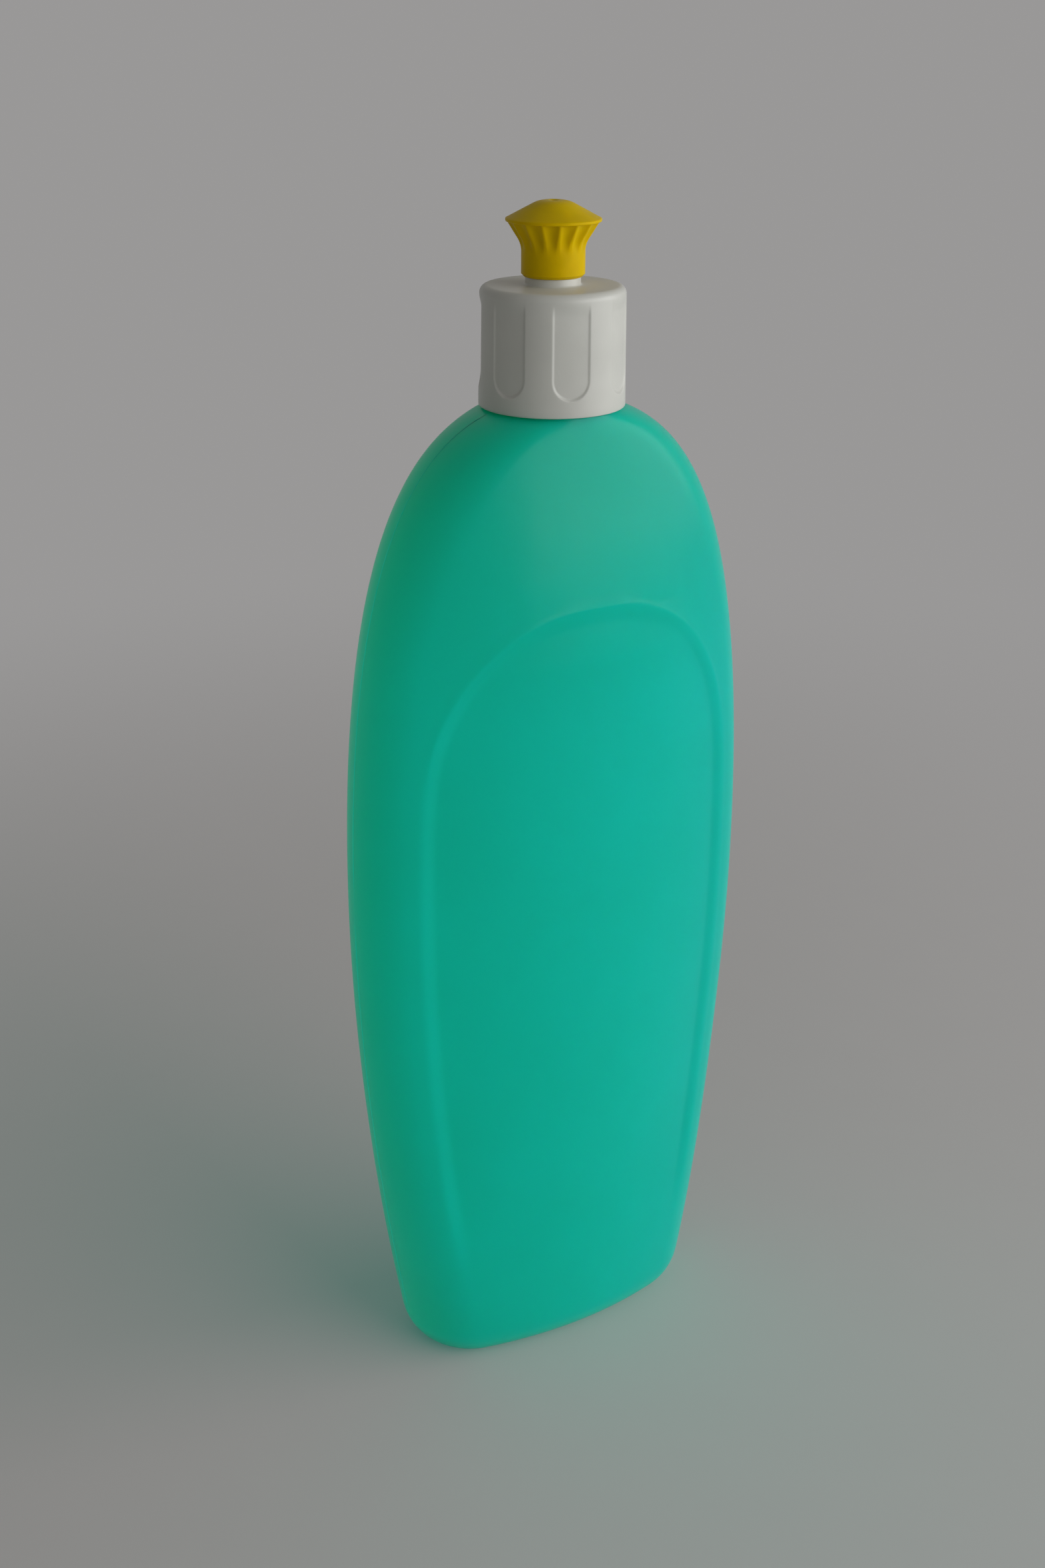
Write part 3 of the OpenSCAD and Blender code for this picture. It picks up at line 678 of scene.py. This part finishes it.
class BOTTLE_OT_shell(bpy.types.Operator):
    """Make the blown shell with its panels, pushed-up base, neck and inside"""
    bl_idname = "bottle.shell"
    bl_label = "Blown Shell"

    # Columns of a quarter: inside the panel, over its step and its rim, beside it and round the narrow side
    columns = (8, 9, 3, 3, 14)
    # Run of the push-up's slope, height of the inner edge, and the neck's fillet and lowest row in the bore
    slope, corner, fillet, bore_row = 0.003, 0.0024, 0.0006, 0.004

    def execute(self, context):
        scene = context.scene
        shape = BodyShape(scene.bottle_body, scene.bottle_panel)
        bm = bmesh.new()
        loft(bm, self.base_rings(shape) + self.outer_rings(shape)
             + self.neck_rings(scene.bottle_body, scene.bottle_neck) + self.inner_rings(shape))
        shell = keep_mesh(bm, "bottle_shell", material_for(blown_polyethylene))
        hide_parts("bottle")
        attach(shell, "bottle")
        return {"FINISHED"}

    def base_rings(self, shape):
        """Pushed-up base, from its middle to the edge of the flat foot."""
        body = shape.body
        foot = body.base_inset + body.foot
        # Places in runs of the slope from the foot, and heights as shares of the push-up
        bends = ((2.0, 1.0), (4 / 3, 1.0), (1.0, 1.0), (0.8, 0.97), (0.55, 0.75), (0.3, 0.35),
                 (0.12, 0.08), (0.0, 0.0))
        insets = [foot + self.slope * run for run, _ in bends]
        return [shape.ring(0.0, self.columns, inset, inset, body.push_up * up)
                for inset, (_, up) in zip(insets, bends)]

    def edge_rings(self, shape, low, height, degrees, wall=0.0):
        """Rings of the base's rounded edge, one wall in, at angles up from its underside."""
        rings = []
        for angle in map(math.radians, degrees):
            inset = wall + shape.body.base_inset * (1 - math.sin(angle))
            rings.append(shape.ring(low + height * (1 - math.cos(angle)), self.columns, inset, inset))
        return rings

    def outer_rings(self, shape):
        """Outside of the body from the foot to the ledge."""
        edge = shape.body.base_round
        side = [shape.ring(z, self.columns) for z in shape.heights(edge, 44, 44, 40)]
        return self.edge_rings(shape, 0.0, edge, range(0, 90, 10)) + side

    def neck_rings(self, body, neck):
        """Outside of the neck with its bead, the rim and the bore down to the shoulder."""
        r, out, c = neck.width / 2, neck.bead / 2, neck.chamfer
        low = body.ledge + neck.bead_up
        high = low + neck.bead_height
        fillet = self.fillet
        profile = corner_arc(r + fillet, body.ledge + fillet, fillet, 270, 180, 4)
        profile += [(r, low)] + corner_arc(out - c, low + c, c, -90, 0, 4)
        profile += corner_arc(out - c, high - c, c, 0, 90, 4) + [(r, high)]
        profile += corner_arc(r - c, NECK_TOP - c, c, 0, 90, 4)
        bore = neck.bore / 2
        profile += corner_arc(bore + c, NECK_TOP - c, c, 90, 180, 4)
        profile += [(bore, body.ledge + self.bore_row), (bore, body.ledge - body.wall * 0.6)]
        return round_rings(profile, 4 * sum(self.columns))

    def inner_rings(self, shape):
        """Inside of the body from the shoulder down to the floor."""
        body = shape.body
        floor = body.push_up + body.floor
        heights = shape.heights(floor + self.corner, 22, 22, 20)
        side = [shape.inner_ring(z, self.columns) for z in reversed(heights)]
        return side + self.edge_rings(shape, floor, self.corner, range(72, -1, -18), body.wall)


def helix(bm, radius, out, width, start_z, pitch, turns):
    """Thread ridge wound about the axis, faded out at both ends; out is negative on an inner wall."""
    # Depth of the root in the wall, half the crest, share of the length that an end fades over, least height
    sunk, crest, faded, least = 0.0002, width * 0.22, 0.12, 0.08
    root = math.copysign(sunk, -out)
    outline = [(root, -width / 2), (out, -crest), (out, crest), (root, width / 2)]
    first = first_loop(bm, [Vector((radius + r, 0.0, start_z + z)) for r, z in outline])
    loop = edges_round(bm, first)
    steps = int(72 * turns)
    made = bmesh.ops.spin(
        bm, geom=first + loop, cent=(0, 0, 0), axis=(0, 0, 1), dvec=(0, 0, pitch * turns / steps),
        angle=2 * math.pi * turns, steps=steps, use_merge=False, use_duplicate=False)
    last = [item for item in made["geom_last"] if isinstance(item, bmesh.types.BMEdge)]
    bmesh.ops.contextual_create(bm, geom=loop)
    bmesh.ops.contextual_create(bm, geom=last)
    for vert in bm.verts:
        along = (vert.co.z - start_z) / (pitch * turns)
        fade = smooth(along / faded) * smooth((1 - along) / faded)
        here = math.hypot(vert.co.x, vert.co.y)
        wanted = radius + root + (here - radius - root) * (least + (1 - least) * fade)
        vert.co.x *= wanted / here
        vert.co.y *= wanted / here
    bmesh.ops.recalc_face_normals(bm, faces=bm.faces)


class BOTTLE_OT_threads(bpy.types.Operator):
    """Make the thread on the neck and the one inside the cap"""
    bl_idname = "bottle.threads"
    bl_label = "Threads"

    # Width of the cap's thread as a share of the neck's
    cap_share = 0.8

    def execute(self, context):
        neck, cap = context.scene.bottle_neck, context.scene.bottle_cap
        start = NECK_TOP - neck.thread_down - neck.pitch * neck.thread_turns
        bm = bmesh.new()
        helix(bm, neck.width / 2, neck.thread_depth, neck.thread_width,
              start, neck.pitch, neck.thread_turns)
        on_neck = keep_mesh(bm, "neck_thread", material_for(blown_polyethylene))
        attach(on_neck, "bottle")
        bm = bmesh.new()
        helix(bm, cap.bore, -neck.thread_depth, neck.thread_width * self.cap_share,
              start - neck.pitch / 2, neck.pitch, neck.thread_turns)
        in_cap = keep_mesh(bm, "cap_thread", material_for(moulded_polypropylene))
        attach(in_cap, "cap")
        return {"FINISHED"}


class BOTTLE_OT_parting_line(bpy.types.Operator):
    """Make the fine line that the two halves of the mould leave, and the pinch-off under the base"""
    bl_idname = "bottle.parting_line"
    bl_label = "Parting Line"

    # Height and width of the line and of the pinch-off, and how far that stays in from the foot
    line_size = (0.00005, 0.0004)
    pinch_size = (0.00035, 0.001)
    pinch_in = 0.004
    # Places of a ridge's root and edges, just under the surface
    root, edge = -0.0001, -0.00001
    # Half of the crest as a share of the width, and height of the ends as a share of the rest
    crest, end = 0.22, 0.1

    def execute(self, context):
        body = context.scene.bottle_body
        shape = BodyShape(body, context.scene.bottle_panel)
        bm = bmesh.new()
        for side in (-1, 1):
            heights = shape.heights(body.base_round, 30, 12, 16)[:-1]
            most = CAD_BOX[1][0] - self.line_size[0]
            path = [Vector((side * min(shape.half_size(z)[0], most), 0.0, z)) for z in heights]
            self.bead(bm, path, Vector((side, 0, 0)), *self.line_size)
        reach = body.base_width / 2 - body.base_inset - body.foot - self.pinch_in
        seam = [Vector((x, 0.0, body.push_up)) for x in (-reach, -reach / 3, reach / 3, reach)]
        self.bead(bm, seam, Vector((0, 0, -1)), *self.pinch_size)
        line = keep_mesh(bm, "parting_line", material_for(blown_polyethylene))
        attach(line, "bottle")
        return {"FINISHED"}

    def bead(self, bm, path, out, height, width):
        """Low ridge along a path, standing out from the surface."""
        rings = []
        for i, point in enumerate(path):
            along = (path[min(i + 1, len(path) - 1)] - path[max(i - 1, 0)]).normalized()
            lift = (out - along * out.dot(along)).normalized()
            across = along.cross(lift)
            top = height * (self.end if i in (0, len(path) - 1) else 1.0)
            half = [(-0.5, self.root), (-0.5, self.edge), (-self.crest, top)]
            profile = half + [(-s, h) for s, h in reversed(half)]
            rings.append([point + across * (width * s) + lift * h for s, h in profile])
        loft(bm, rings)


# Screw cap


def deck_height(cap):
    """Height of the deck's upper face."""
    return SEAL_TOP + cap.deck


def chimney_top(cap):
    """Height of the chimney's upper end."""
    return deck_height(cap) + cap.chimney_height


class BOTTLE_OT_cap(bpy.types.Operator):
    """Make the fluted cap with its deck, collar and chimney"""
    bl_idname = "bottle.cap"
    bl_label = "Screw Cap"

    # Points round the cap, a multiple of the number of flutes
    segments = 630
    # Rounding of the skirt's lower edge, of a flute's edge, of the collar's foot, and of other edges
    low_round, flute_round, foot_round, edge_round = 0.0003, 0.00045, 0.0004, 0.0002
    # Share by which a flute is shallower at its sides, and the chamfer at both ends of the skirt's bore
    hollow, lead = 0.6, 0.0004
    # Rows between: above the skirt's lower edge, in from the deck's edge, out from the collar, below the deck
    low_row, deck_row, collar_row, bore_row = 0.0015, 0.0035, 0.001, 0.008

    def execute(self, context):
        cap = context.scene.bottle_cap
        bm = bmesh.new()
        rings = [self.skirt_ring(cap, r, z) for r, z in self.skirt_profile(cap)]
        rings += round_rings(self.top_profile(cap) + self.inside_profile(cap), self.segments)
        loft(bm, rings, closed=True)
        moulding = keep_mesh(bm, "cap_moulding", material_for(moulded_polypropylene), 40.0)
        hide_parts("screw_cap")
        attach(moulding, "cap")
        return {"FINISHED"}

    def skirt_profile(self, cap):
        """Outside of the skirt, from its lower edge over the rounded edge of the deck."""
        soft = self.low_round
        edge = deck_height(cap) - cap.deck_round
        top_r = cap.low_radius - cap.draft
        flute, end = CAP_LOW + cap.flute_up, CAP_LOW + cap.flute_up + cap.flute_width / 2
        heights = [CAP_LOW + soft, CAP_LOW + self.low_row] + between(flute - soft, end, 24)
        heights += between(end, edge - cap.flute_runout, 6) + between(edge - cap.flute_runout, edge, 8)
        profile = corner_arc(cap.low_radius - soft, CAP_LOW + soft, soft, -90, 0, 3)[:-1]
        profile += [(cap.low_radius - cap.draft * (z - CAP_LOW) / (edge - CAP_LOW), z) for z in heights]
        return profile + corner_arc(top_r - cap.deck_round, edge, cap.deck_round, 0, 90, 12)

    def skirt_ring(self, cap, radius, z):
        """Ring of the skirt with its flutes pressed in."""
        edge = deck_height(cap) - cap.deck_round
        up = min(1.0, max(0.0, (z - CAP_LOW) / (edge - CAP_LOW)))
        land = cap.low_radius - cap.draft * up
        floor = land - cap.flute_depth * smooth((edge - z) / cap.flute_runout)
        half = cap.flute_width / 2
        end = CAP_LOW + cap.flute_up + half
        pitch = 2 * math.pi / cap.flutes

        def depth_at(angle):
            off = (angle - cap.flute_turn + pitch / 2) % pitch - pitch / 2
            across = abs(off) * cap.low_radius
            inside = half - (across if z > end else math.hypot(across, end - z))
            flat = 1 - self.hollow * min(1.0, across / half) ** 2
            return max(0.0, radius - floor) * flat * smooth(inside / self.flute_round)

        return pressed_ring(radius, z, self.segments, depth_at)

    def top_profile(self, cap):
        """Deck, collar and the outside of the chimney."""
        deck, soft, foot = deck_height(cap), self.edge_round, self.foot_round
        collar, tube = cap.collar / 2, cap.chimney / 2
        bead, top = tube + cap.stop_out, chimney_top(cap)
        stop = top - cap.stop_height
        profile = [(cap.low_radius - self.deck_row, deck), (collar + self.collar_row, deck)]
        profile += corner_arc(collar + foot, deck + foot, foot, 270, 180, 4)
        profile += corner_arc(collar - soft, NOZZLE_LOW - soft, soft, 0, 90, 3)
        return profile + [(tube, NOZZLE_LOW), (tube, stop), (bead, stop), (bead, stop + cap.stop_height / 2),
                          (tube, top - soft / 2), (tube - soft, top)]

    def inside_profile(self, cap):
        """Bore of the chimney, underside of the deck and inside of the skirt."""
        tube, bore, soft, lead = cap.chimney_bore / 2, cap.bore, self.edge_round, self.lead
        top = chimney_top(cap)
        return [(tube + soft, top), (tube, top - soft), (tube, SEAL_TOP), (bore - lead, SEAL_TOP),
                (bore, SEAL_TOP - lead), (bore, SEAL_TOP - self.bore_row), (bore, CAP_LOW + lead),
                (bore + lead, CAP_LOW)]


class BOTTLE_OT_plug(bpy.types.Operator):
    """Make the plug that closes the orifice and its three webs"""
    bl_idname = "bottle.plug"
    bl_label = "Plug and Webs"

    # Number of webs, the bevel on their edges, and the points round the plug and the rounding of its ends
    webs, bevel, segments, soft = 3, 0.00015, 48, 0.0004

    def execute(self, context):
        cap = context.scene.bottle_cap
        top = chimney_top(cap) - cap.web_sunk
        low = top - cap.web_height
        r, soft = cap.plug / 2, self.soft
        tip = CROWN - cap.plug_sunk
        profile = [(r - soft, low), (r, low + soft), (r, top)]
        bm = bmesh.new()
        loft(bm, round_rings(profile + corner_arc(r - soft, tip - soft, soft, 0, 90, 4), self.segments))
        reach = (cap.chimney + cap.chimney_bore) / 4
        for i in range(self.webs):
            turned = Matrix.Rotation(2 * math.pi * i / self.webs, 3, "Z")
            web = bmesh.ops.create_cube(bm, size=1.0)["verts"]
            bmesh.ops.scale(bm, vec=(reach, cap.web, cap.web_height), verts=web)
            bmesh.ops.translate(bm, vec=(reach / 2, 0, (top + low) / 2), verts=web)
            bmesh.ops.rotate(bm, cent=(0, 0, 0), matrix=turned, verts=web)
            edges = list({edge for vert in web for edge in vert.link_edges})
            bmesh.ops.bevel(
                bm, geom=edges, offset=self.bevel, segments=2, profile=0.5, affect="EDGES", material=-1)
        piece = keep_mesh(bm, "cap_plug", material_for(moulded_polypropylene))
        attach(piece, "cap")
        return {"FINISHED"}


# Nozzle


class BOTTLE_OT_nozzle(bpy.types.Operator):
    """Make the push-pull nozzle with its scalloped flare"""
    bl_idname = "bottle.nozzle"
    bl_label = "Nozzle"

    # Points round the nozzle, a multiple of the number of scallops
    segments = 256
    # Chamfer of the skirt's foot, rounding of the brim, of the mouth and of the lip's foot
    chamfer, brim_round, mouth_round, lip_round = 0.0005, 0.0002, 0.00015, 0.0002
    # A scallop's start below the flare, its half width there as a share of the pitch, and what that grows by
    scallop_down, scallop_low, scallop_more = 0.0002, 0.34, 0.13
    # The cone's share that the crown's dome takes up
    dome_share = 0.2
    # Play over the chimney's top
    play = 0.0004

    def execute(self, context):
        nozzle = context.scene.bottle_nozzle
        bm = bmesh.new()
        rings = [self.scalloped(nozzle, r, z) for r, z in self.flare_profile(nozzle)]
        profile = self.top_profile(nozzle) + self.inside_profile(nozzle, context.scene.bottle_cap)
        loft(bm, rings + round_rings(profile, self.segments), closed=True)
        spout = keep_mesh(bm, "nozzle_spout", material_for(moulded_polyethylene), 40.0)
        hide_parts("nozzle")
        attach(spout, "nozzle")
        return {"FINISHED"}

    def flare_profile(self, nozzle):
        """Outside of the skirt and the flare, up to the brim."""
        r, chamfer, lean = nozzle.skirt / 2, self.chamfer, nozzle.lean
        arc_low = NOZZLE_LOW + nozzle.skirt_height
        brim = NOZZLE_LOW + nozzle.brim_up
        rise, run = brim - arc_low, nozzle.flare / 2 - r
        arc_r = (rise * math.tan(lean) - run) / (math.tan(lean) * math.sin(lean) + math.cos(lean) - 1)
        soft = chamfer / 5
        foot = NOZZLE_LOW + chamfer
        profile = [(r - chamfer, NOZZLE_LOW), (r - soft, foot - soft), (r, foot)]
        profile += [(r, z) for z in between(foot + 0.6 * chamfer, arc_low, 5)]
        turns = [lean * i / 12 for i in range(13)]
        profile += [(r + arc_r * (1 - math.cos(t)), arc_low + arc_r * math.sin(t)) for t in turns]
        bend, top = Vector(profile[-1]), Vector((nozzle.flare / 2, brim))
        places = [0.12 * i for i in range(1, 8)] + [0.95, 1.0]
        return profile + [tuple(bend.lerp(top, k)) for k in places]

    def scalloped(self, nozzle, radius, z):
        """Ring of the flare with its scallops pressed in."""
        low = NOZZLE_LOW + nozzle.skirt_height - self.scallop_down
        high = NOZZLE_LOW + nozzle.brim_up
        up = min(1.0, max(0.0, (z - low) / (high - low)))
        depth = nozzle.scallop_depth * smooth(up * 1.5)
        pitch = 2 * math.pi / nozzle.scallops
        half = pitch * (self.scallop_low + self.scallop_more * up)

        def depth_at(angle):
            off = (angle % pitch - pitch / 2) / half
            return depth * max(0.0, 1 - off * off)

        return pressed_ring(radius, z, self.segments, depth_at)

    def top_profile(self, nozzle):
        """Brim, the low cone above it and the domed crown in to its mouth."""
        soft, round_in = self.brim_round, self.mouth_round
        r = nozzle.brim / 2 - soft
        low = NOZZLE_LOW + nozzle.brim_up
        high = low + nozzle.brim_thick
        profile = [(r - soft / 4, low + soft / 20)] + corner_arc(r, low + soft, soft, -60, 0, 3)
        profile += corner_arc(r, high - soft, soft, 0, 55, 3)
        cone_low, bend = Vector((r, high)), Vector((nozzle.crown / 2, CROWN))
        cone_high = bend.lerp(cone_low, self.dome_share)
        profile += [tuple(cone_low.lerp(cone_high, k)) for k in (0.05, 0.3, 0.6, 0.85)]
        inner = bend - Vector((nozzle.dome, 0.0))
        for i in range(6):
            k = i / 5
            profile.append(tuple(cone_high.lerp(bend, k).lerp(bend.lerp(inner, k), k)))
        return profile + corner_arc(nozzle.mouth / 2 + round_in, CROWN - round_in, round_in, 90, 180, 3)

    def inside_profile(self, nozzle, cap):
        """Mouth, orifice, chamber, bore and lip, from the top down."""
        mouth, orifice, chamber, bore, lip = (
            nozzle.mouth / 2, nozzle.orifice / 2, nozzle.chamber, nozzle.bore, nozzle.lip)
        ledge, step = CROWN - nozzle.mouth_length, CROWN - nozzle.orifice_length
        ceiling = chimney_top(cap) + self.play
        lip_top, soft = NOZZLE_LOW + nozzle.lip_height, self.lip_round
        return [(mouth, ledge), (orifice, ledge), (orifice, step), (chamber, step), (chamber, ceiling),
                (bore, ceiling), (bore, lip_top), (lip, lip_top), (lip, NOZZLE_LOW + soft),
                (lip + soft, NOZZLE_LOW)]


# Seal


class BOTTLE_OT_seal(bpy.types.Operator):
    """Give the seal ring its foam finish"""
    bl_idname = "bottle.seal"
    bl_label = "Seal"

    def execute(self, context):
        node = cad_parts["seal"]
        node.data.materials.clear()
        node.data.materials.append(material_for(foamed_seal))
        return {"FINISHED"}


# Stage


class BOTTLE_OT_stage(bpy.types.Operator):
    """Make the floor, the sky, the lamp and the camera"""
    bl_idname = "bottle.stage"
    bl_label = "Stage"

    # Half width of the floor, and the nearest and farthest that the camera sees
    reach, near, far = 60.0, 0.01, 50.0

    def execute(self, context):
        scene = context.scene
        scene.view_settings.view_transform = "Standard"
        self.floor(scene)
        self.sky(scene)
        self.lamp(scene)
        self.camera(scene)
        return {"FINISHED"}

    def floor(self, scene):
        """Plain pale floor that runs out of the picture."""
        bm = bmesh.new()
        bmesh.ops.create_grid(bm, x_segments=1, y_segments=1, size=self.reach)
        paint = Paint("floor_paint")
        base = tuple(scene.bottle_finishes.floor)
        grain = paint.mix(paint.noise(60.0, 3.0), tint(base, 0.99), tint(base, 1.01))
        paint.set(Base_Color=grain, Roughness=0.9, Specular_IOR_Level=0.2)
        self.fade_out(paint, scene.bottle_stage)
        keep_mesh(bm, "floor", paint.material)

    def fade_out(self, paint, stage):
        """Fades the far floor into the backdrop where the camera or a gloss looks at it."""
        far = paint.add("VectorMath", paint.place)
        far.operation = "LENGTH"
        fade = paint.add(
            "MapRange", Value=far.outputs["Value"], From_Min=stage.fade_start, From_Max=stage.fade_end)
        fade.interpolation_type = "SMOOTHSTEP"
        amount = paint.combine("MULTIPLY", fade.outputs["Result"], paint.seen_ray())
        backdrop = paint.add("Emission", Color=(*stage.backdrop, 1.0))
        paint.show_mixed(
            amount, paint.shader.outputs["BSDF"], backdrop.outputs["Emission"], "Material Output")

    def sky(self, scene):
        """Even light from all round, with a pale backdrop where the camera or a gloss looks at it."""
        stage = scene.bottle_stage
        scene.world = bpy.data.worlds.new("studio_sky")
        scene.world.use_nodes = True
        world = Nodes(scene.world.node_tree)
        seen = world.nodes["Background"]
        seen.inputs["Color"].default_value = (*stage.backdrop, 1.0)
        light = world.add("Background", Color=(*stage.sky_colour, 1.0), Strength=stage.sky)
        world.show_mixed(
            world.seen_ray(), light.outputs["Background"], seen.outputs["Background"], "World Output")

    def lamp(self, scene):
        """Wide and soft lamp at the right, like a large window."""
        stage = scene.bottle_stage
        azimuth = stage.lamp_side - math.pi / 2 - stage.yaw
        up = stage.lamp_up
        back = Vector((math.cos(azimuth) * math.cos(up), math.sin(azimuth) * math.cos(up), math.sin(up)))
        data = bpy.data.lights.new("window_lamp", "AREA")
        data.shape = "RECTANGLE"
        data.size, data.size_y = stage.lamp_width, stage.lamp_height
        data.energy = stage.lamp_power
        lamp = bpy.data.objects.new("window_lamp", data)
        lamp.location = back * stage.lamp_away
        lamp.rotation_euler = back.to_track_quat("Z", "Y").to_euler()
        lamp.visible_camera = False
        scene.collection.objects.link(lamp)

    def camera(self, scene):
        """Camera at the photograph's place, with its look, pan and roll."""
        stage = scene.bottle_stage
        data = bpy.data.cameras.new("photo_camera")
        data.sensor_width = SENSOR
        data.lens = stage.focal / PHOTO_HEIGHT * SENSOR
        data.clip_start, data.clip_end = self.near, self.far
        right = Vector((math.cos(stage.pan), -math.sin(stage.pan), 0.0))
        level = Vector((math.sin(stage.pan), math.cos(stage.pan), 0.0))
        up = level * math.sin(stage.pitch) + Vector((0, 0, math.cos(stage.pitch)))
        rolled_right = right * math.cos(stage.roll) + up * math.sin(stage.roll)
        rolled_up = up * math.cos(stage.roll) - right * math.sin(stage.roll)
        axes = Matrix((rolled_right, rolled_up, rolled_right.cross(rolled_up))).transposed()
        turned = Matrix.Rotation(-stage.yaw, 4, "Z")
        place = Matrix.Translation((0.0, -stage.away, stage.height)) @ axes.to_4x4()
        camera = bpy.data.objects.new("photo_camera", data)
        camera.matrix_world = turned @ place
        scene.collection.objects.link(camera)
        scene.camera = camera


# Panel and registration


class BOTTLE_PT_panel(bpy.types.Panel):
    """Lists the pieces of the bottle and their sizes"""
    bl_idname = "BOTTLE_PT_panel"
    bl_label = "Squeeze Bottle"
    bl_space_type = "VIEW_3D"
    bl_region_type = "UI"
    bl_category = "Bottle"

    def draw(self, context):
        layout = self.layout
        for operator in PIECES:
            layout.operator(operator.bl_idname)
        for name in GROUPS:
            box = layout.box()
            group = getattr(context.scene, name)
            box.label(text=group.bl_rna.description)
            for key in type(group).__annotations__:
                box.prop(group, key)


GROUPS = {
    "bottle_body": BodySizes,
    "bottle_panel": PanelSizes,
    "bottle_neck": NeckSizes,
    "bottle_cap": CapSizes,
    "bottle_nozzle": NozzleSizes,
    "bottle_finishes": Finishes,
    "bottle_stage": StageSettings,
}
PIECES = (BOTTLE_OT_shell, BOTTLE_OT_threads, BOTTLE_OT_parting_line, BOTTLE_OT_cap, BOTTLE_OT_plug,
          BOTTLE_OT_nozzle, BOTTLE_OT_seal, BOTTLE_OT_stage)


def register():
    """Registers the classes and hangs the property groups on the scene."""
    for cls in (*GROUPS.values(), *PIECES, BOTTLE_PT_panel):
        bpy.utils.register_class(cls)
    for name, group in GROUPS.items():
        setattr(bpy.types.Scene, name, bpy.props.PointerProperty(type=group))


def unregister():
    """Takes everything away again."""
    for name in GROUPS:
        delattr(bpy.types.Scene, name)
    for cls in (BOTTLE_PT_panel, *reversed(PIECES), *reversed(tuple(GROUPS.values()))):
        bpy.utils.unregister_class(cls)


def main():
    """Makes every piece and the stage."""
    register()
    bpy.ops.bottle.shell()
    bpy.ops.bottle.threads()
    bpy.ops.bottle.parting_line()
    bpy.ops.bottle.cap()
    bpy.ops.bottle.plug()
    bpy.ops.bottle.nozzle()
    bpy.ops.bottle.seal()
    bpy.ops.bottle.stage()


if __name__ == "__main__":
    main()
